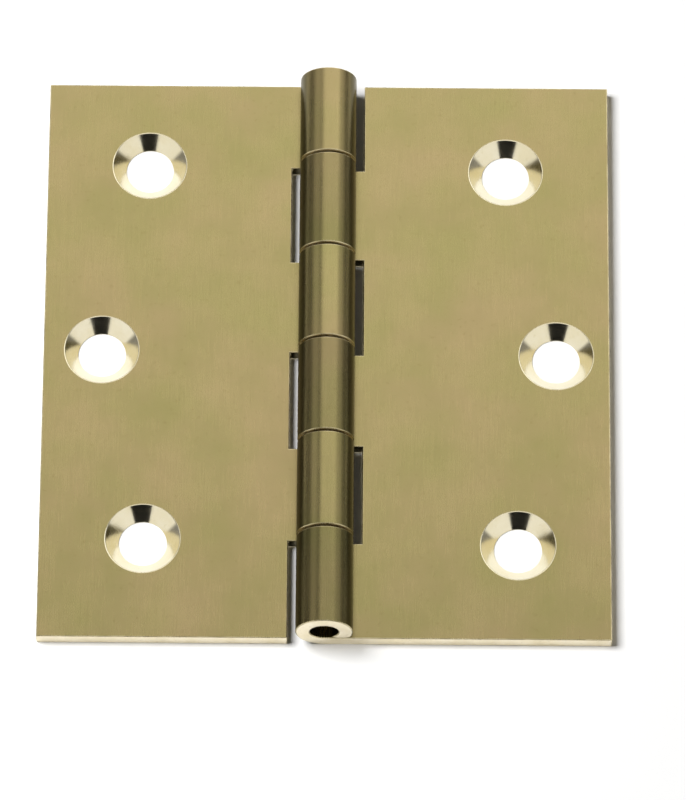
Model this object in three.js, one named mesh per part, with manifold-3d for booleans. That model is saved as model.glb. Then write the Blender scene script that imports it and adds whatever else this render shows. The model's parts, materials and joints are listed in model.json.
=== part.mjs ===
// A brass butt hinge, opened flat: two leaves of sheet brass whose edges are rolled into six
// knuckles, and the pin that runs through them. Millimetres, +Z up along the pin. The leaves lie
// in the XZ plane with their fronts, where the barrel and the countersinks are, facing -Y. The
// origin is on the pin's axis, half way up the hinge.

import * as THREE from 'three';
import { mergeVertices } from 'three/addons/utils/BufferGeometryUtils.js';
import Module from 'manifold-3d';

// Driving dimensions of the hinge.
const openWidth = 70;
const hingeHeight = 76;
const leafThickness = 1.75;
const barrelDiameter = 7;

// Knuckles, counted from the top. The first is cut shorter than the others, which are alike.
const knuckleCount = 6;
const firstKnuckle = 11.8;
const knuckleGap = 0.3;
// Room between a knuckle and the notch in the other leaf that it turns in.
const knuckleClearance = 1;
// Seam between a knuckle's rolled end and the front of its own leaf.
const rollSeam = 0.3;

// Pin, held back from both ends of the barrel.
const pinClearance = 0.06;
const pinRecessTop = 1.2;
const pinRecessBottom = 2.5;
const pinChamfer = 0.35;

// Screw holes: three in a zigzag, sunk for a flat-head screw. The outer two keep their distances
// from the leaf's end and its long edge, and the middle one is nearer that edge by the zigzag.
const holeDiameter = 5.9;
const sinkDiameter = 9.2;
const sinkLand = 0.1;
const holeEndDistance = 12.3;
const holeEdgeDistance = 12.4;
const holeZigzag = 5.5;

// How far each leaf's holes are punched off their place: outwards, upwards and turned.
const frameLeafPunch = { out: -0.3, up: 0.9, turn: 0 };
const doorLeafPunch = { out: 0.3, up: 0.3, turn: 1.6 };

// Facets of round shapes, and how far a cutter runs past what it cuts.
const barrelFacets = 44;
const holeFacets = 36;
const cutterOverrun = 1;

const barrelRadius = barrelDiameter / 2;
const boreRadius = barrelRadius - leafThickness;
const pinRadius = boreRadius - pinClearance;
const leafReach = openWidth / 2;
const leafFront = boreRadius;
const leafBack = barrelRadius;
const top = hingeHeight / 2;
const notchReach = barrelRadius + knuckleClearance;
const holeSpacing = top - holeEndDistance;
const knucklePitch = (hingeHeight - firstKnuckle) / (knuckleCount - 1);

const wasm = await Module();
wasm.setup();

// Booleans work on closed solids; meshes are drawn from them.
function toSolid(geometry) {
  const bare = geometry.index ? geometry.toNonIndexed() : geometry.clone();
  bare.deleteAttribute('normal');
  bare.deleteAttribute('uv');
  const merged = mergeVertices(bare, 1e-5);
  return new wasm.Manifold(new wasm.Mesh({
    numProp: 3,
    vertProperties: new Float32Array(merged.attributes.position.array),
    triVerts: new Uint32Array(merged.index.array),
  }));
}

function toGeometry(solid) {
  const { vertProperties, triVerts } = solid.getMesh();
  const geometry = new THREE.BufferGeometry();
  geometry.setAttribute('position', new THREE.BufferAttribute(vertProperties, 3));
  geometry.setIndex(new THREE.BufferAttribute(triVerts, 1));
  const faceted = geometry.toNonIndexed();
  faceted.computeVertexNormals();
  return faceted;
}

// A box between two corners.
function block([x0, y0, z0], [x1, y1, z1]) {
  const geometry = new THREE.BoxGeometry(x1 - x0, y1 - y0, z1 - z0);
  geometry.translate((x0 + x1) / 2, (y0 + y1) / 2, (z0 + z1) / 2);
  return toSolid(geometry);
}

// The section of a leaf that reaches to +X, seen down the pin: a flat plate whose inner edge is
// rolled round the pin and back to the plate's own front.
function leafSection() {
  const rollEnd = leafFront - rollSeam;
  const outerEnd = Math.asin(rollEnd / barrelRadius);
  const innerEnd = Math.asin(rollEnd / boreRadius);
  const quarter = Math.PI / 2;
  const section = new THREE.Shape();
  section.moveTo(leafReach, leafFront);
  section.lineTo(leafReach, leafBack);
  section.lineTo(0, leafBack);
  section.absarc(0, 0, barrelRadius, quarter, outerEnd + 4 * quarter, false);
  section.absarc(0, 0, boreRadius, innerEnd, quarter - 4 * quarter, true);
  section.closePath();
  return section;
}

// The rolled strip along the whole hinge, before its notches and holes are cut.
function rolledStrip() {
  const geometry = new THREE.ExtrudeGeometry(leafSection(), {
    depth: hingeHeight,
    bevelEnabled: false,
    curveSegments: barrelFacets,
  });
  geometry.translate(0, 0, -top);
  return toSolid(geometry);
}

// Height of the boundary under knuckle number k; 0 is the hinge's top.
function boundary(k) {
  return k === 0 ? top : top - firstKnuckle - (k - 1) * knucklePitch;
}

// The notch that leaves room for the other leaf's knuckle k. It opens at the hinge's ends.
function notch(k) {
  const high = k === 1 ? top + cutterOverrun : boundary(k - 1) + knuckleGap / 2;
  const low = k === knuckleCount ? -top - cutterOverrun : boundary(k) - knuckleGap / 2;
  const edge = barrelRadius + cutterOverrun;
  return block([-edge, -edge, low], [notchReach, edge, high]);
}

// A screw hole's cutter, standing on the leaf's back and opening towards its front.
function screwHoleCutter() {
  const sinkDepth = leafThickness - sinkLand;
  const flare = (sinkDiameter - holeDiameter) / 2 / sinkDepth;
  const holeRadius = holeDiameter / 2;
  const profile = [
    new THREE.Vector2(0, -cutterOverrun),
    new THREE.Vector2(holeRadius, -cutterOverrun),
    new THREE.Vector2(holeRadius, sinkLand),
    new THREE.Vector2(sinkDiameter / 2 + flare * cutterOverrun, leafThickness + cutterOverrun),
    new THREE.Vector2(0, leafThickness + cutterOverrun),
  ];
  const geometry = new THREE.LatheGeometry(profile, holeFacets);
  geometry.rotateX(Math.PI);
  geometry.translate(0, leafBack, 0);
  return geometry;
}

// Places of a leaf's three screw holes, as [distance from the pin, height].
function holePlaces(punch) {
  const angle = THREE.MathUtils.degToRad(punch.turn);
  const centre = leafReach - holeEdgeDistance + punch.out;
  const pattern = [[0, holeSpacing], [holeZigzag, 0], [0, -holeSpacing]];
  return pattern.map(([out, up]) => [
    centre + out * Math.cos(angle) - up * Math.sin(angle),
    punch.up + out * Math.sin(angle) + up * Math.cos(angle),
  ]);
}

// A leaf that reaches to +X and owns the given knuckles.
function leaf(ownKnuckles, punch) {
  let solid = rolledStrip();
  for (let k = 1; k <= knuckleCount; k += 1) {
    if (!ownKnuckles.includes(k)) {
      solid = solid.subtract(notch(k));
    }
  }
  for (const [out, up] of holePlaces(punch)) {
    solid = solid.subtract(toSolid(screwHoleCutter().translate(out, 0, up)));
  }
  return solid;
}

// A pin with chamfered ends.
function hingePin() {
  const low = -top + pinRecessBottom;
  const high = top - pinRecessTop;
  const profile = [
    new THREE.Vector2(0, low),
    new THREE.Vector2(pinRadius - pinChamfer, low),
    new THREE.Vector2(pinRadius, low + pinChamfer),
    new THREE.Vector2(pinRadius, high - pinChamfer),
    new THREE.Vector2(pinRadius - pinChamfer, high),
    new THREE.Vector2(0, high),
  ];
  const geometry = new THREE.LatheGeometry(profile, barrelFacets);
  return geometry.rotateX(Math.PI / 2);
}

const brass = new THREE.MeshStandardMaterial({ color: 0xb0a36c, roughness: 0.38, metalness: 1 });
const pinBrass = new THREE.MeshStandardMaterial({ color: 0x8f7a48, roughness: 0.45, metalness: 1 });

// Knuckles alternate: the door leaf has the even ones and the frame leaf the odd ones.
const knuckles = Array.from({ length: knuckleCount }, (_, i) => i + 1);
const evenKnuckles = knuckles.filter((k) => k % 2 === 0);
const oddKnuckles = knuckles.filter((k) => k % 2 === 1);

const doorLeaf = new THREE.Mesh(toGeometry(leaf(evenKnuckles, doorLeafPunch)), brass);
doorLeaf.name = 'door_leaf';

// The frame leaf reaches to -X, so it is the same shape in a mirror.
const frameLeafSolid = leaf(oddKnuckles, frameLeafPunch).mirror([1, 0, 0]);
const frameLeaf = new THREE.Mesh(toGeometry(frameLeafSolid), brass);
frameLeaf.name = 'frame_leaf';

const pin = new THREE.Mesh(hingePin(), pinBrass);
pin.name = 'hinge_pin';

const hinge = new THREE.Group();
hinge.add(frameLeaf, doorLeaf, pin);

export default hinge;
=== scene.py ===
# A brass butt hinge lying open on a pale surface: two leaves of sheet brass whose edges are rolled
# into six knuckles, and the pin inside them. Metres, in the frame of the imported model: +Z runs up
# along the pin, and the hinge's front, with its barrel and countersinks, faces -Y.

import json
import math
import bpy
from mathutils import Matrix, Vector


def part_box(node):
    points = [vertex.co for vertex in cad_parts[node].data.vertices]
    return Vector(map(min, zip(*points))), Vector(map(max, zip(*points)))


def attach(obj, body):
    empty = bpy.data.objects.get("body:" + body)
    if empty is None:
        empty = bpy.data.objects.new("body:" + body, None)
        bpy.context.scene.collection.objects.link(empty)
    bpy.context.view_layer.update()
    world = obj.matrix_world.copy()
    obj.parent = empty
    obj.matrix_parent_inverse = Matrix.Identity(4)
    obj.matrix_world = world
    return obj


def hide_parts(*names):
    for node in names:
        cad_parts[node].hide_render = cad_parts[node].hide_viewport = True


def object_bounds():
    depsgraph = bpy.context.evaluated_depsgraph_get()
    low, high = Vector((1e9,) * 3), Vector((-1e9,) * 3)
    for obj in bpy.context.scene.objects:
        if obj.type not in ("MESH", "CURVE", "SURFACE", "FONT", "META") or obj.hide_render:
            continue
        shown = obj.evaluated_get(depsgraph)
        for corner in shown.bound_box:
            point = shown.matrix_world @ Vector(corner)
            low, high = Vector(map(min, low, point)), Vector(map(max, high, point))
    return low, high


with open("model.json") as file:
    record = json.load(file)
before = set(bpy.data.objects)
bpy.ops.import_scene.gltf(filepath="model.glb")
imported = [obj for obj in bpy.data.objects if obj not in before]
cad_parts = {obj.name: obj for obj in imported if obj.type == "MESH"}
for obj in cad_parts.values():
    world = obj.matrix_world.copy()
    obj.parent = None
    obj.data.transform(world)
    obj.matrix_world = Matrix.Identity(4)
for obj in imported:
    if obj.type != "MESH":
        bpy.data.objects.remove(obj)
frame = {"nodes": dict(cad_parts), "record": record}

from types import SimpleNamespace

import bmesh
import bpy
from mathutils import Matrix, Vector

CAD_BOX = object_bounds()
CENTRE = (CAD_BOX[0] + CAD_BOX[1]) / 2
MM = 0.001
NEAR = 0.01 * MM
SAME_PLACE = 0.1 * NEAR

# How finely round shapes are cut, and how much a tool has taken off each edge.
ROLL_STEP = math.radians(3.75)
HOLE_STEPS = 96
EDGE_ROUND = 0.14 * MM
EDGE_SEGMENTS = 3
RIM_ROUND = 0.22 * MM
RIM_SEGMENTS = 4
RIM_START = math.radians(8)
BACK_BREAK = 0.06 * MM
CUTTER_OVERRUN = 1 * MM

# Painted shade on each knuckle, from the top one down, for the light that falls differently on each:
# 0 is as bright as the leaves. Painted shade in the groove beside the barrel starts at the first of
# two places along Y and is darkest at the second. Both fade out towards the leaf's back.
KNUCKLE_PAINTED_SHADE = (0.0, 0.3, 0.0, 0.35, 0.08, 0.46)
GROOVE_PAINTED_SHADE = 0.9
GROOVE_SHADE_LINE = (-2.9 * MM, -1.9 * MM)

# How far a leaf's face turns towards an end or a side, from 0 to 1, before it counts as worn, as cut,
# and as a flat end. Near a screw hole, a face with less than CONE_BELOW along Y is the countersink's.
WORN_FROM = 0.1
CUT_FROM = 0.8
END_FROM = 0.98
CONE_BELOW = 0.985

# The order of a leaf's finishes.
SHEET, SUNK, CUT = range(3)


# ---------------------------------------------------------------- camera, light and surface

def make_camera():
    """A long lens in front of the hinge and below its middle, turned a touch on its own axis."""
    elevation = math.radians(-25.94)
    roll = math.radians(0.44)
    distance = 0.948
    right_of_centre = 2.03 * MM
    above_centre = -6.0 * MM
    data = bpy.data.cameras.new("camera")
    data.sensor_width = 36
    data.lens = 345.7
    back = Vector((0, -math.cos(elevation), math.sin(elevation)))
    level = Vector((1, 0, 0))
    upright = back.cross(level)
    right = level * math.cos(roll) + upright * math.sin(roll)
    up = upright * math.cos(roll) - level * math.sin(roll)
    place = CENTRE + back * distance + right * right_of_centre + up * above_centre
    camera = bpy.data.objects.new("camera", data)
    turn = Matrix((right, up, back)).transposed()
    camera.matrix_world = Matrix.Translation(place) @ turn.to_4x4()
    bpy.context.scene.collection.objects.link(camera)
    bpy.context.scene.camera = camera


def soft_light(name, direction, distance, size, radiance, in_reflections=True):
    """A rectangular light that faces the hinge, as bright as radiance all over."""
    data = bpy.data.lights.new(name, "AREA")
    data.shape = "RECTANGLE"
    data.size, data.size_y = size
    data.energy = radiance * math.pi * size[0] * size[1]
    light = bpy.data.objects.new(name, data)
    away = Vector(direction).normalized()
    light.location = CENTRE + away * distance
    light.rotation_mode = "QUATERNION"
    light.rotation_quaternion = away.to_track_quat("Z", "Y")
    light.visible_camera = False
    light.visible_glossy = in_reflections
    bpy.context.scene.collection.objects.link(light)
    return light


def add_node(tree, kind, inputs=None, **settings):
    """A new node with its settings and inputs, which are values or other nodes' sockets."""
    made = tree.nodes.new(kind)
    for name, value in settings.items():
        setattr(made, name, value)
    for name, value in (inputs or {}).items():
        if isinstance(value, bpy.types.NodeSocket):
            tree.links.new(value, made.inputs[name])
        else:
            made.inputs[name].default_value = value
    return made


def arithmetic(tree, operation, *values):
    """The socket of one step of arithmetic on one or two values or sockets."""
    return add_node(tree, "ShaderNodeMath", dict(enumerate(values)), operation=operation).outputs[0]


def remap(tree, value, low, high, to_low=0.0, to_high=1.0):
    """The socket of a value stretched from low..high to to_low..to_high, and held there."""
    limits = {"Value": value, "From Min": low, "From Max": high, "To Min": to_low, "To Max": to_high}
    return add_node(tree, "ShaderNodeMapRange", limits).outputs[0]


def make_world():
    """Pale to the eye, and faint as a light. Metal sees it dim, but pale below, ahead and behind."""
    to_the_eye = 0.98
    as_a_light = 0.07
    world = bpy.data.worlds.new("studio")
    world.use_nodes = True
    tree = world.node_tree
    tree.nodes.clear()
    place = add_node(tree, "ShaderNodeTexCoord")
    axes = add_node(tree, "ShaderNodeSeparateXYZ", {0: place.outputs["Generated"]})
    below = remap(tree, axes.outputs["Z"], low=-0.12, high=0.0, to_low=0.92, to_high=0.23)
    behind = remap(tree, axes.outputs["Y"], low=-0.05, high=0.2, to_low=0.0, to_high=0.95)
    ahead = remap(tree, axes.outputs["Y"], low=-0.995, high=-0.965, to_low=0.9, to_high=0.0)
    room = arithmetic(tree, "MAXIMUM", below, arithmetic(tree, "MAXIMUM", ahead, behind))
    path = add_node(tree, "ShaderNodeLightPath")
    unseen = add_node(
        tree, "ShaderNodeMix", {0: path.outputs["Is Glossy Ray"], 2: as_a_light, 3: room}
    )
    strength = add_node(
        tree, "ShaderNodeMix", {0: path.outputs["Is Camera Ray"], 2: unseen.outputs[0], 3: to_the_eye}
    )
    sky = add_node(
        tree, "ShaderNodeBackground", {"Color": (1, 0.985, 0.96, 1), "Strength": strength.outputs[0]}
    )
    add_node(tree, "ShaderNodeOutputWorld", {"Surface": sky.outputs[0]})
    bpy.context.scene.world = world


def pale_surface_material():
    """White card. It is clear from behind and to what touches it, so the hinge's back is lit."""
    touching_distance = 0.25 * MM
    material = bpy.data.materials.new("pale card")
    material.use_nodes = True
    tree = material.node_tree
    tree.nodes.clear()
    card = add_node(tree, "ShaderNodeBsdfDiffuse", {"Color": (0.92, 0.92, 0.915, 1)})
    clear = add_node(tree, "ShaderNodeBsdfTransparent")
    side = add_node(tree, "ShaderNodeNewGeometry")
    path = add_node(tree, "ShaderNodeLightPath")
    touching = arithmetic(tree, "LESS_THAN", path.outputs["Ray Length"], touching_distance)
    unseen = arithmetic(tree, "MAXIMUM", side.outputs["Backfacing"], touching)
    mix = add_node(
        tree, "ShaderNodeMixShader", {0: unseen, 1: card.outputs[0], 2: clear.outputs[0]}
    )
    add_node(tree, "ShaderNodeOutputMaterial", {"Surface": mix.outputs[0]})
    return material


def flat_card(name, centre, across, up, material):
    """A stage rectangle whose face points along across x up."""
    corners = [centre - across - up, centre + across - up, centre + across + up, centre - across + up]
    mesh = bpy.data.meshes.new(name)
    mesh.from_pydata(corners, [], [(0, 1, 2, 3)])
    mesh.materials.append(material)
    card = bpy.data.objects.new(name, mesh)
    bpy.context.scene.collection.objects.link(card)
    return card


def make_surface():
    """The surface that the hinge's back lies on."""
    half = 0.6
    gap = 0.02 * MM
    centre = Vector((CENTRE.x, CAD_BOX[1].y + gap, CENTRE.z))
    flat_card("surface", centre, Vector((half, 0, 0)), Vector((0, 0, half)), pale_surface_material())


def make_dark_card():
    """A black card under the camera, which makes the dark glint in the upper side of a countersink."""
    black = (0.004, 0.004, 0.004, 1)
    distance = 0.5
    half_width = 0.2
    half_height = 0.16
    material = bpy.data.materials.new("black card")
    material.use_nodes = True
    shader = material.node_tree.nodes["Principled BSDF"]
    shader.inputs["Base Color"].default_value = black
    shader.inputs["Roughness"].default_value = 1
    elevation = math.radians(-64)
    away = Vector((0, -math.cos(elevation), math.sin(elevation)))
    across = Vector((1, 0, 0))
    up = across.cross(away) * half_height
    card = flat_card("black_card", CENTRE + away * distance, across * half_width, up, material)
    card.visible_camera = False
    card.visible_diffuse = False
    card.visible_shadow = False


# ---------------------------------------------------------------- node groups of the finishes

def group_with(name, kind, inputs, outputs):
    """An empty node tree with the named sockets, and its input and output nodes."""
    tree = bpy.data.node_groups.new(name, kind)
    for label, socket, value in inputs:
        made = tree.interface.new_socket(label, in_out="INPUT", socket_type=socket)
        if value is not None:
            made.default_value = value
    for label, socket in outputs:
        tree.interface.new_socket(label, in_out="OUTPUT", socket_type=socket)
    return tree, tree.nodes.new("NodeGroupInput").outputs, tree.nodes.new("NodeGroupOutput")


def mix_colours(tree, share, first, second):
    """The socket of a colour that is first at share 0 and second at share 1."""
    mixed = add_node(tree, "ShaderNodeMix", {0: share, 6: first, 7: second}, data_type="RGBA")
    return mixed.outputs[2]


def tone_group():
    """Slow drifts of colour over sheet or wire between two tones, dull specks, and painted shade on top.
    """
    tree, given, result = group_with(
        "brass tone", "ShaderNodeTree",
        [
            ("Place", "NodeSocketVector", None),
            ("Patches", "NodeSocketFloat", 70.0),
            ("Light Tone", "NodeSocketColor", (0.5, 0.42, 0.18, 1)),
            ("Dark Tone", "NodeSocketColor", (0.4, 0.34, 0.13, 1)),
            ("Speck Tone", "NodeSocketColor", (0.3, 0.24, 0.08, 1)),
            ("Speck Share", "NodeSocketFloat", 0.5),
            # The tint of the painted shade, and how much of it darkens the colour.
            ("Shade Tint", "NodeSocketColor", (0.3, 0.31, 0.29, 1)),
            ("Painted Shade", "NodeSocketFloat", 0.0),
        ],
        [("Colour", "NodeSocketColor")],
    )
    patches = add_node(
        tree, "ShaderNodeTexNoise",
        {"Vector": given["Place"], "Scale": given["Patches"], "Detail": 3.0, "Roughness": 0.55},
    )
    lightness = remap(tree, patches.outputs[0], low=0.32, high=0.68)
    body = mix_colours(tree, lightness, given["Dark Tone"], given["Light Tone"])
    specks = add_node(
        tree, "ShaderNodeTexNoise", {"Vector": given["Place"], "Scale": 1600.0, "Detail": 2.0}
    )
    few = remap(tree, specks.outputs[0], low=0.62, high=0.8)
    share = arithmetic(tree, "MULTIPLY", few, given["Speck Share"])
    specked = mix_colours(tree, share, body, given["Speck Tone"])
    # Painted shade: the colour is multiplied towards the shade tint as far as Painted Shade says.
    shaded = add_node(
        tree, "ShaderNodeMix", {0: given["Painted Shade"], 6: specked, 7: given["Shade Tint"]},
        data_type="RGBA", blend_type="MULTIPLY",
    )
    tree.links.new(shaded.outputs[2], result.inputs["Colour"])
    return tree


def grain_group():
    """Fine lines drawn along the sheet or wire, as a height, and how they roughen the shine."""
    tree, given, result = group_with(
        "drawn grain", "ShaderNodeTree",
        [
            ("Place", "NodeSocketVector", None),
            ("Along", "NodeSocketVector", (1.0, 1.0, 0.03)),
            ("Fineness", "NodeSocketFloat", 9000.0),
            ("Smooth", "NodeSocketFloat", 0.26),
            ("Dull", "NodeSocketFloat", 0.36),
        ],
        [("Height", "NodeSocketFloat"), ("Roughness", "NodeSocketFloat")],
    )
    drawn = add_node(
        tree, "ShaderNodeVectorMath", {0: given["Place"], 1: given["Along"]}, operation="MULTIPLY"
    )
    lines = add_node(
        tree, "ShaderNodeTexNoise",
        {"Vector": drawn.outputs[0], "Scale": given["Fineness"], "Detail": 3.0, "Roughness": 0.6},
    )
    smears = add_node(
        tree, "ShaderNodeTexNoise",
        {"Vector": given["Place"], "Scale": 130.0, "Detail": 4.0, "Roughness": 0.65},
    )
    both = arithmetic(tree, "ADD", lines.outputs[0], smears.outputs[0])
    spread = remap(tree, both, low=0.7, high=1.3, to_low=given["Smooth"], to_high=given["Dull"])
    tree.links.new(lines.outputs[0], result.inputs["Height"])
    tree.links.new(spread, result.inputs["Roughness"])
    return tree


def worn_edge_group():
    """Bare metal rubbed bright along an edge, broken up where hands and doors haven't reached."""
    tree, given, result = group_with(
        "worn edge", "ShaderNodeTree",
        [
            ("Place", "NodeSocketVector", None),
            ("Edge", "NodeSocketFloat", 0.0),
            ("Colour", "NodeSocketColor", (0.4, 0.34, 0.13, 1)),
            ("Bare Colour", "NodeSocketColor", (0.8, 0.68, 0.38, 1)),
            ("Wear", "NodeSocketFloat", 0.6),
        ],
        [("Colour", "NodeSocketColor")],
    )
    broken = add_node(
        tree, "ShaderNodeTexNoise", {"Vector": given["Place"], "Scale": 500.0, "Detail": 3.0}
    )
    rubbed = remap(tree, broken.outputs[0], low=0.3, high=0.62, to_low=0.25)
    share = arithmetic(tree, "MULTIPLY", given["Edge"], rubbed)
    worn = arithmetic(tree, "MULTIPLY", share, given["Wear"])
    mixed = mix_colours(tree, worn, given["Colour"], given["Bare Colour"])
    tree.links.new(mixed, result.inputs["Colour"])
    return tree


# ---------------------------------------------------------------- finishes

def place_group(tree, group, inputs):
    """A shader node group placed in a material, with its own values."""
    return add_node(tree, "ShaderNodeGroup", inputs, node_tree=group)


def brass_material(name, groups, tone, grain, wear, bump):
    """A brass finish from the shared groups: tone, grain and wear hold the values it gives them."""
    material = bpy.data.materials.new(name)
    material.use_nodes = True
    tree = material.node_tree
    shader = tree.nodes["Principled BSDF"]
    shader.inputs["Metallic"].default_value = 1
    place = add_node(tree, "ShaderNodeTexCoord").outputs["Object"]
    edge = add_node(tree, "ShaderNodeAttribute", attribute_name="edge").outputs["Fac"]
    # The painted_shade attribute holds painted shade on the knuckles, beside the barrel and in the
    # slots.
    painted_shade = add_node(tree, "ShaderNodeAttribute", attribute_name="painted_shade").outputs["Fac"]
    toned = place_group(tree, groups.tone, {"Place": place, "Painted Shade": painted_shade, **tone})
    worn = place_group(
        tree, groups.worn_edge, {"Place": place, "Edge": edge, "Colour": toned.outputs["Colour"], **wear}
    )
    drawn = place_group(tree, groups.grain, {"Place": place, **grain})
    relief = add_node(
        tree, "ShaderNodeBump",
        {"Height": drawn.outputs["Height"], "Strength": bump, "Distance": 0.01 * MM},
    )
    tree.links.new(worn.outputs["Colour"], shader.inputs["Base Color"])
    tree.links.new(drawn.outputs["Roughness"], shader.inputs["Roughness"])
    tree.links.new(relief.outputs["Normal"], shader.inputs["Normal"])
    return material


def make_finishes():
    """The four finishes: rolled sheet, turned countersink, sheared edge and drawn pin wire."""
    groups = SimpleNamespace(tone=tone_group(), grain=grain_group(), worn_edge=worn_edge_group())
    sheet = brass_material(
        "sheet_brass", groups,
        tone={
            "Patches": 95.0,
            "Light Tone": (0.347, 0.271, 0.128, 1), "Dark Tone": (0.301, 0.261, 0.104, 1),
            "Speck Tone": (0.22, 0.17, 0.06, 1), "Speck Share": 0.3,
        },
        grain={"Along": (1.0, 1.0, 0.03), "Fineness": 9000.0, "Smooth": 0.24, "Dull": 0.33},
        wear={"Bare Colour": (0.82, 0.72, 0.45, 1), "Wear": 0.75},
        bump=0.25,
    )
    sunk = brass_material(
        "turned_brass", groups,
        tone={
            "Patches": 300.0, "Light Tone": (0.92, 0.86, 0.66, 1), "Dark Tone": (0.86, 0.78, 0.54, 1),
            "Speck Tone": (0.6, 0.48, 0.2, 1), "Speck Share": 0.2,
        },
        grain={"Along": (0.04, 1.0, 0.04), "Fineness": 8000.0, "Smooth": 0.1, "Dull": 0.18},
        wear={"Bare Colour": (0.92, 0.84, 0.6, 1), "Wear": 0.4},
        bump=0.12,
    )
    cut = brass_material(
        "sheared_brass", groups,
        tone={
            "Patches": 400.0, "Light Tone": (0.92, 0.84, 0.66, 1), "Dark Tone": (0.8, 0.71, 0.5, 1),
            "Speck Tone": (0.4, 0.3, 0.12, 1), "Speck Share": 0.4,
        },
        grain={"Along": (1.0, 0.1, 1.0), "Fineness": 5000.0, "Smooth": 0.3, "Dull": 0.45},
        wear={"Bare Colour": (0.85, 0.75, 0.5, 1), "Wear": 0.4},
        bump=0.3,
    )
    wire = brass_material(
        "pin_wire", groups,
        tone={
            "Patches": 500.0, "Light Tone": (0.3, 0.235, 0.1, 1), "Dark Tone": (0.2, 0.155, 0.07, 1),
            "Speck Tone": (0.08, 0.06, 0.03, 1), "Speck Share": 0.6,
        },
        grain={"Along": (1.0, 1.0, 0.05), "Fineness": 6000.0, "Smooth": 0.35, "Dull": 0.5},
        wear={"Bare Colour": (0.5, 0.42, 0.22, 1), "Wear": 0.6},
        bump=0.3,
    )
    return SimpleNamespace(sheet=sheet, sunk=sunk, cut=cut, wire=wire)


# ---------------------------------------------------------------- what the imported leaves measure

def survey_leaf(node, side):
    """Sizes and places of a packed leaf, as if it reached to +X: side is 1 if it does, else -1."""
    points = [Vector((side * v.co.x, v.co.y, v.co.z)) for v in frame["nodes"][node].data.vertices]
    back = max(p.y for p in points)
    bore = min(math.hypot(p.x, p.y) for p in points)
    reach = max(p.x for p in points)
    top = max(p.z for p in points)
    notch = min(p.x for p in points if p.y > back - NEAR and p.x > NEAR)
    round_outside = [p for p in points if math.hypot(p.x, p.y) > back - NEAR and p.x < back + NEAR]
    barrel = [p for p in round_outside if p.y < bore - NEAR]
    ends = sorted({round(p.z / NEAR) * NEAR for p in barrel})
    inside = [p for p in points if notch + NEAR < p.x < reach - NEAR and abs(p.z) < top - NEAR]
    return SimpleNamespace(
        back=back, bore=bore, mean=(back + bore) / 2, reach=reach, top=top, notch=notch,
        knuckles=list(zip(ends[0::2], ends[1::2])), curl_end=max(p.y for p in barrel if p.x > 0),
        holes=survey_holes(inside, back, bore),
    )


def survey_holes(points, back, front):
    """The zigzag of three screw holes whose edges are at these points, and their section."""
    between_holes = 5 * MM
    places = []
    groups = split_by_height(points, between_holes)
    for group in groups:
        across = [p.x for p in group]
        heights = [p.z for p in group]
        places.append(Vector(((min(across) + max(across)) / 2, 0, (min(heights) + max(heights)) / 2)))
    low, middle, high = places
    column = high - low
    centre = (low + high) / 2
    gaps = [(math.hypot(p.x - c.x, p.z - c.z), p.y) for group, c in zip(groups, places) for p in group]
    radius = max(gap for gap, y in gaps if y > back - NEAR)
    return SimpleNamespace(
        centre=centre, spacing=column.length / 2, turn=math.atan2(-column.x, column.z),
        zigzag=(middle - centre).cross(column).length / column.length, radius=radius,
        sink_radius=max(gap for gap, y in gaps if y < front + NEAR),
        land=back - min(y for gap, y in gaps if gap < radius + NEAR), places=places,
    )


def split_by_height(points, gap):
    """Groups of points, from the lowest up, with more than gap between one group and the next."""
    ordered = sorted(points, key=lambda p: p.z)
    groups = [[ordered[0]]]
    for before, point in zip(ordered, ordered[1:]):
        if point.z - before.z > gap:
            groups.append([])
        groups[-1].append(point)
    return groups


# ---------------------------------------------------------------- node trees that shape the sheet

def screw_hole_tree():
    """Cuts a zigzag of three countersunk holes: the cutter stands on three points of a sheet."""
    tree, given, result = group_with(
        "screw holes", "GeometryNodeTree",
        [
            ("Geometry", "NodeSocketGeometry", None),
            ("Cutter", "NodeSocketObject", None),
            ("Centre", "NodeSocketVector", None),
            ("Spacing", "NodeSocketFloat", 25 * MM),
            ("Zigzag", "NodeSocketFloat", 5 * MM),
            ("Turn", "NodeSocketFloat", 0.0),
            ("Material", "NodeSocketMaterial", None),
        ],
        [("Geometry", "NodeSocketGeometry")],
    )
    index = add_node(tree, "GeometryNodeInputIndex").outputs[0]
    step = arithmetic(tree, "SUBTRACT", 1.0, index)
    up = arithmetic(tree, "MULTIPLY", step, given["Spacing"])
    middle = arithmetic(tree, "SUBTRACT", 1.0, arithmetic(tree, "ABSOLUTE", step))
    out = arithmetic(tree, "MULTIPLY", middle, given["Zigzag"])
    flat = add_node(tree, "ShaderNodeCombineXYZ", {"X": out, "Z": up}).outputs[0]
    turned = add_node(
        tree, "ShaderNodeVectorRotate",
        {"Vector": flat, "Axis": (0.0, -1.0, 0.0), "Angle": given["Turn"]}, rotation_type="AXIS_ANGLE",
    ).outputs[0]
    place = add_node(tree, "ShaderNodeVectorMath", {0: turned, 1: given["Centre"]}).outputs[0]
    points = add_node(tree, "GeometryNodePoints", {"Count": 3, "Position": place}).outputs[0]
    cutter = add_node(tree, "GeometryNodeObjectInfo", {"Object": given["Cutter"]}).outputs["Geometry"]
    stood = add_node(
        tree, "GeometryNodeInstanceOnPoints", {"Points": points, "Instance": cutter}
    ).outputs[0]
    cutters = add_node(tree, "GeometryNodeRealizeInstances", {0: stood}).outputs[0]
    cut = add_node(
        tree, "GeometryNodeMeshBoolean", {"Mesh 1": given["Geometry"], "Mesh 2": cutters},
        operation="DIFFERENCE", solver="EXACT",
    )
    finish_tree(tree, cut.outputs["Mesh"], given["Material"], result)
    return tree


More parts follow.
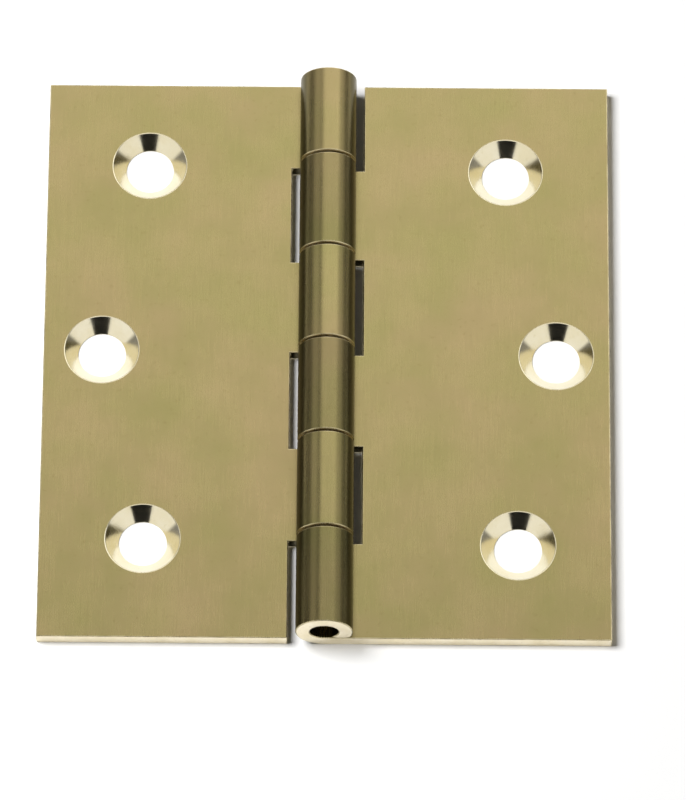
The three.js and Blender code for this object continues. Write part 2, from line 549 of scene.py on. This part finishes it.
def roll_tree():
    """Rolls the part of a flat sheet at X below zero round the Z axis, as far as its length goes."""
    tree, given, result = group_with(
        "rolled knuckles", "GeometryNodeTree",
        [
            ("Geometry", "NodeSocketGeometry", None),
            ("Mean Radius", "NodeSocketFloat", 2.6 * MM),
            ("Material", "NodeSocketMaterial", None),
        ],
        [("Geometry", "NodeSocketGeometry")],
    )
    place = add_node(tree, "GeometryNodeInputPosition").outputs[0]
    flat = add_node(tree, "ShaderNodeSeparateXYZ", {0: place})
    angle = arithmetic(tree, "DIVIDE", flat.outputs["X"], given["Mean Radius"])
    across = arithmetic(tree, "MULTIPLY", arithmetic(tree, "SINE", angle), flat.outputs["Y"])
    depth = arithmetic(tree, "MULTIPLY", arithmetic(tree, "COSINE", angle), flat.outputs["Y"])
    rolled = add_node(
        tree, "ShaderNodeCombineXYZ", {"X": across, "Y": depth, "Z": flat.outputs["Z"]}
    ).outputs[0]
    tongue = add_node(
        tree, "FunctionNodeCompare", {0: flat.outputs["X"], 1: 0.0}, data_type="FLOAT",
        operation="LESS_THAN",
    ).outputs[0]
    bent = add_node(
        tree, "GeometryNodeSetPosition",
        {"Geometry": given["Geometry"], "Selection": tongue, "Position": rolled},
    ).outputs[0]
    finish_tree(tree, bent, given["Material"], result)
    return tree


def finish_tree(tree, geometry, material, result):
    """Ends a tree: real faces, with their material."""
    real = add_node(tree, "GeometryNodeRealizeInstances", {0: geometry}).outputs[0]
    faced = add_node(
        tree, "GeometryNodeSetMaterial", {"Geometry": real, "Material": material}
    ).outputs[0]
    tree.links.new(faced, result.inputs["Geometry"])


def run_tree(piece, tree, values):
    """Puts a node tree on a piece, with its inputs set by their identifiers."""
    modifier = piece.modifiers.new(tree.name, "NODES")
    modifier.node_group = tree
    for item in tree.interface.items_tree:
        if item.in_out == "INPUT" and item.name in values:
            modifier[item.identifier] = values[item.name]


def settle(piece):
    """Turns a piece and its live modifiers into one plain mesh."""
    shown = piece.evaluated_get(bpy.context.evaluated_depsgraph_get())
    mesh = bpy.data.meshes.new_from_object(shown)
    piece.modifiers.clear()
    piece.data = mesh


# ---------------------------------------------------------------- pieces

def new_piece(name, bm):
    """An object at the origin with the mesh that bm holds."""
    mesh = bpy.data.meshes.new(name)
    bm.to_mesh(mesh)
    bm.free()
    piece = bpy.data.objects.new(name, mesh)
    bpy.context.scene.collection.objects.link(piece)
    return piece


def spin_profile(name, profile, axis, steps):
    """A turned solid: profile runs from the axis out and back to it, as (radius, along) pairs."""
    bm = bmesh.new()
    side = Vector((1, 0, 0))
    corners = [bm.verts.new(side * radius + axis * along) for radius, along in profile]
    edges = [bm.edges.new(pair) for pair in zip(corners, corners[1:])]
    bmesh.ops.spin(
        bm, geom=corners + edges, cent=(0, 0, 0), axis=axis, dvec=(0, 0, 0), angle=math.tau, steps=steps
    )
    bmesh.ops.remove_doubles(bm, verts=bm.verts, dist=SAME_PLACE)
    bmesh.ops.recalc_face_normals(bm, faces=bm.faces)
    return new_piece(name, bm)


def arc(centre, radius, start, end, segments):
    """Points of an arc as (x, y) pairs."""
    turns = [start + (end - start) * i / segments for i in range(segments + 1)]
    return [(centre[0] + radius * math.cos(a), centre[1] + radius * math.sin(a)) for a in turns]


def countersink_cutter(leaf):
    """What a drill and a countersink take out of a leaf, with the rim's edge rounded over."""
    holes = leaf.holes
    slope = math.atan2(holes.sink_radius - holes.radius, leaf.back - leaf.bore - holes.land)
    steepness = math.pi / 2 - slope
    tangent = RIM_ROUND * math.tan(steepness / 2)
    # The rim's arc starts nearly flat on the leaf's front and turns down into the cone.
    centre = (holes.sink_radius + tangent, leaf.bore + RIM_ROUND)
    start = -math.pi / 2 - RIM_START
    rim = arc(centre, RIM_ROUND, start, -math.pi / 2 - steepness, RIM_SEGMENTS)
    lead = (rim[0][0] + RIM_ROUND * math.cos(RIM_START), rim[0][1] - RIM_ROUND * math.sin(RIM_START))
    # All of it sinks by what the arc's first point stands behind the front, so that it starts there.
    lift = rim[0][1] - leaf.bore
    rim = [(radius, y - lift) for radius, y in rim]
    over = CUTTER_OVERRUN
    profile = [
        (0, leaf.bore - over),
        (lead[0], leaf.bore - over),
        (lead[0], lead[1] - lift),
        *rim,
        (holes.radius, leaf.back - holes.land),
        (holes.radius, leaf.back - BACK_BREAK),
        (holes.radius + BACK_BREAK + over, leaf.back + over),
        (0, leaf.back + over),
    ]
    return spin_profile("countersink_cutter", profile, Vector((0, 1, 0)), HOLE_STEPS)


def blank_outline(leaf, tip):
    """The outline of a leaf's flat blank, as (x, z) corners: a plate with a tongue per knuckle."""
    outline = [(leaf.reach, -leaf.top), (leaf.reach, leaf.top)]
    for low, high in reversed(leaf.knuckles):
        outline += [(leaf.notch, high), (tip, high), (tip, low), (leaf.notch, low)]
    at_top = leaf.knuckles[-1][1] > leaf.top - NEAR
    at_bottom = leaf.knuckles[0][0] < -leaf.top + NEAR
    if at_top:
        del outline[2]
    else:
        outline.insert(2, (leaf.notch, leaf.top))
    if at_bottom:
        del outline[-1]
    else:
        outline.append((leaf.notch, -leaf.top))
    return outline


def roll_angle(leaf, radius):
    """How far round the pin a layer of the sheet goes before it stops short of the leaf's front."""
    return math.tau - math.acos(leaf.curl_end / radius)


def sheet_blank(name, leaf):
    """A leaf's flat blank with rounded edges, cut across its tongues where they will be bent."""
    tips = {y: -leaf.mean * roll_angle(leaf, y) for y in (leaf.back, leaf.bore)}
    shortest = max(tips.values())
    bm = bmesh.new()
    corners = [bm.verts.new((x, leaf.back, z)) for x, z in blank_outline(leaf, shortest)]
    face = bm.faces.new(corners)
    raised = bmesh.ops.extrude_face_region(bm, geom=[face])["geom"]
    for vert in raised:
        if isinstance(vert, bmesh.types.BMVert):
            vert.co.y = leaf.bore
    for vert in bm.verts:
        if vert.co.x < shortest + NEAR:
            vert.co.x = min(tips.items(), key=lambda tip: abs(tip[0] - vert.co.y))[1]
    bmesh.ops.recalc_face_normals(bm, faces=bm.faces)
    bmesh.ops.bevel(
        bm, geom=bm.edges[:], offset=EDGE_ROUND, segments=EDGE_SEGMENTS, profile=0.5, affect="EDGES"
    )
    for step in range(math.ceil(-min(tips.values()) / leaf.mean / ROLL_STEP)):
        bmesh.ops.bisect_plane(
            bm, geom=bm.verts[:] + bm.edges[:] + bm.faces[:], dist=SAME_PLACE,
            plane_co=(-leaf.mean * step * ROLL_STEP, 0, 0), plane_no=(1, 0, 0),
        )
    return new_piece(name, bm)


def groove_painted_shade(y):
    """How much painted shade the barrel gets at y, darker on its way down into the groove beside it."""
    start, end = GROOVE_SHADE_LINE
    share = min(max((y - start) / (end - start), 0), 1)
    return GROOVE_PAINTED_SHADE * share * share * (3 - 2 * share)


def bend_share(x, y):
    """How far a place on a knuckle is round its first quarter turn from the leaf's back: 1 past it."""
    turned = math.atan2(-x, y) % math.tau
    return min(turned / (math.pi / 2), 1)


def dress_leaf(piece, leaf, painted_shade, finishes):
    """Gives each face of a leaf its finish, and marks worn edges and where shade is painted on."""
    mesh = piece.data
    mesh.materials.clear()
    for finish in (finishes.sheet, finishes.sunk, finishes.cut):
        mesh.materials.append(finish)
    edge = mesh.attributes.new("edge", "FLOAT", "FACE").data
    shade_values = mesh.attributes.new("painted_shade", "FLOAT", "FACE").data
    holes = leaf.holes
    for face in mesh.polygons:
        x, y, z = face.center
        gap = min(math.hypot(x - c.x, z - c.z) for c in holes.places)
        slant = max(abs(face.normal.x), abs(face.normal.z))
        if x < 0 or (y < leaf.bore and x < leaf.back + NEAR):
            slant = abs(face.normal.z)
            if slant < END_FROM:
                # Painted shade on a knuckle: its own share plus the groove's, fading out towards the
                # leaf's back.
                knuckle = min(leaf.knuckles, key=lambda ends: abs(sum(ends) / 2 - z))
                shade_amount = min(painted_shade[leaf.knuckles.index(knuckle)] + groove_painted_shade(y), 1)
                shade_values[face.index].value = shade_amount * bend_share(x, y)
        by_notch = 0 < x < leaf.notch + NEAR and y > leaf.bore and abs(z) < leaf.top - NEAR
        if gap < holes.sink_radius + RIM_ROUND and abs(face.normal.y) < CONE_BELOW:
            face.material_index = SUNK
            edge[face.index].value = float(gap > holes.sink_radius - RIM_ROUND)
        # Painted shade: the notch's cut faces, in the slot beside the barrel, are shaded in full.
        elif by_notch and slant > CUT_FROM:
            shade_values[face.index].value = 1.0
        else:
            face.material_index = CUT if slant > CUT_FROM else SHEET
            edge[face.index].value = float(WORN_FROM < slant < END_FROM)


def make_leaf(name, node, side, painted_shade, trees, finishes):
    """A leaf, from its flat blank: drilled, rolled, turned to its own side and finished."""
    leaf = survey_leaf(node, side)
    piece = sheet_blank(name, leaf)
    cutter = countersink_cutter(leaf)
    holes = leaf.holes
    run_tree(piece, trees.holes, {
        "Cutter": cutter, "Centre": holes.centre, "Spacing": holes.spacing, "Zigzag": holes.zigzag,
        "Turn": holes.turn, "Material": finishes.sheet,
    })
    run_tree(piece, trees.roll, {"Mean Radius": leaf.mean, "Material": finishes.sheet})
    settle(piece)
    bpy.data.objects.remove(cutter)
    dress_leaf(piece, leaf, painted_shade, finishes)
    if side < 0:
        piece.data.transform(Matrix.Scale(-1, 4, Vector((1, 0, 0))))
        piece.data.flip_normals()
    even_shading(piece)
    return piece


def even_shading(piece):
    """Smooth shading that keeps flats flat, by weighting each face's share of a corner by its area."""
    piece.data.shade_smooth()
    weighted = piece.modifiers.new("even shading", "WEIGHTED_NORMAL")
    weighted.weight = 100
    settle(piece)


def make_pin(name, node, finishes):
    """The pin: drawn wire, cut to length, with the corners of its ends rounded over and worn."""
    low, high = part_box(node)
    radius = (high.x - low.x) / 2
    corner = 0.45 * MM
    steps = 6
    worn_from = 0.15
    worn_to = 0.95
    bottom = arc((radius - corner, low.z + corner), corner, -math.pi / 2, 0, steps)
    top = arc((radius - corner, high.z - corner), corner, 0, math.pi / 2, steps)
    profile = [(0, low.z), *bottom, *top, (0, high.z)]
    piece = spin_profile(name, profile, Vector((0, 0, 1)), HOLE_STEPS)
    piece.data.materials.append(finishes.wire)
    edge = piece.data.attributes.new("edge", "FLOAT", "FACE")
    for face in piece.data.polygons:
        edge.data[face.index].value = float(worn_from < abs(face.normal.z) < worn_to)
    even_shading(piece)
    return piece


# ---------------------------------------------------------------- assembly

def stand_for(piece, node, body):
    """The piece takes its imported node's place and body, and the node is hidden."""
    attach(piece, body)
    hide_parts(node)


def body_with(node):
    """The body that a node belongs to."""
    return next(body for body, nodes in frame["record"]["behaviour"]["bodies"].items() if node in nodes)


def build():
    """All three pieces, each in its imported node's place."""
    finishes = make_finishes()
    trees = SimpleNamespace(holes=screw_hole_tree(), roll=roll_tree())
    # A leaf's knuckles come from the bottom up, so their painted shade is taken in that order.
    painted_shade = KNUCKLE_PAINTED_SHADE[::-1]
    pieces = {
        "frame_leaf": make_leaf("frame_leaf_sheet", "frame_leaf", -1, painted_shade[1::2], trees, finishes),
        "door_leaf": make_leaf("door_leaf_sheet", "door_leaf", 1, painted_shade[0::2], trees, finishes),
        "hinge_pin": make_pin("hinge_pin_wire", "hinge_pin", finishes),
    }
    for node, piece in pieces.items():
        stand_for(piece, node, body_with(node))


def light_scene():
    """A softbox with dimmer wings, which only metal sees, and a lamp that lights the surface."""
    make_world()
    box_distance = 0.6
    softbox = soft_light("softbox", (0.15, -0.76, 0.66), box_distance, size=(0.66, 0.5), radiance=1.34)
    softbox.visible_diffuse = False
    for side in (-0.57, 0.77):
        beside = (side, -0.565, 0.48)
        wing = soft_light("softbox_wing", beside, box_distance, size=(0.26, 0.5), radiance=0.56)
        wing.visible_diffuse = False
    lamp_distance = 0.9
    soft_light(
        "lamp", (-0.5, -0.85, 0.09), lamp_distance, size=(0.5, 0.45), radiance=16, in_reflections=False
    )
    make_surface()
    make_dark_card()


make_camera()
light_scene()
build()
bpy.context.scene.view_settings.view_transform = "Standard"
